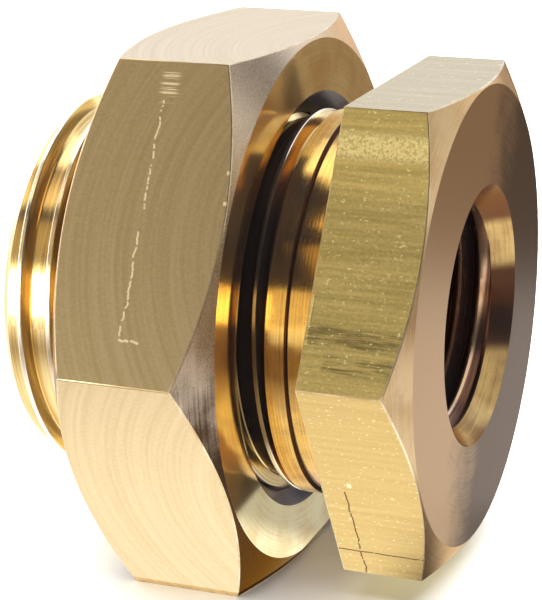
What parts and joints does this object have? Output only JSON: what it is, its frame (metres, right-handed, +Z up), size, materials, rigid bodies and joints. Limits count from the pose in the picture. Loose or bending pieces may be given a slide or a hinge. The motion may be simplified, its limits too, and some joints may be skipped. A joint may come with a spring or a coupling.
{
  "type": "tank connector",
  "caption": "Brass tank connector: a hexagon-headed sleeve with a pipe-threaded bore and an outside thread, and a larger hexagon back nut that clamps the tank wall against the head.",
  "frame": {"origin": "on the pipe axis, in the plane of the head's sealing face, which is the centre of the hole in the tank wall", "axes": "+X along the pipe axis from the barrel towards the hexagon head, +Z up with both hexagons lying on a flat, +Y away from the viewer"},
  "size_m": [0.0286, 0.0404, 0.035],
  "materials": {
    "body_brass": "machined, drawn flats with streaks along the bar",
    "nut_brass": "machined, flats with fine tool marks across the bar"
  },
  "bodies": {
    "body": {"body": "body_brass"},
    "nut": {"back_nut": "nut_brass"}
  },
  "joints": [
    {"name": "nut_travel", "type": "slide", "parent": "body", "child": "nut", "axis": [1, 0, 0], "range_m": [-0.018, 0.002]}
  ]
}
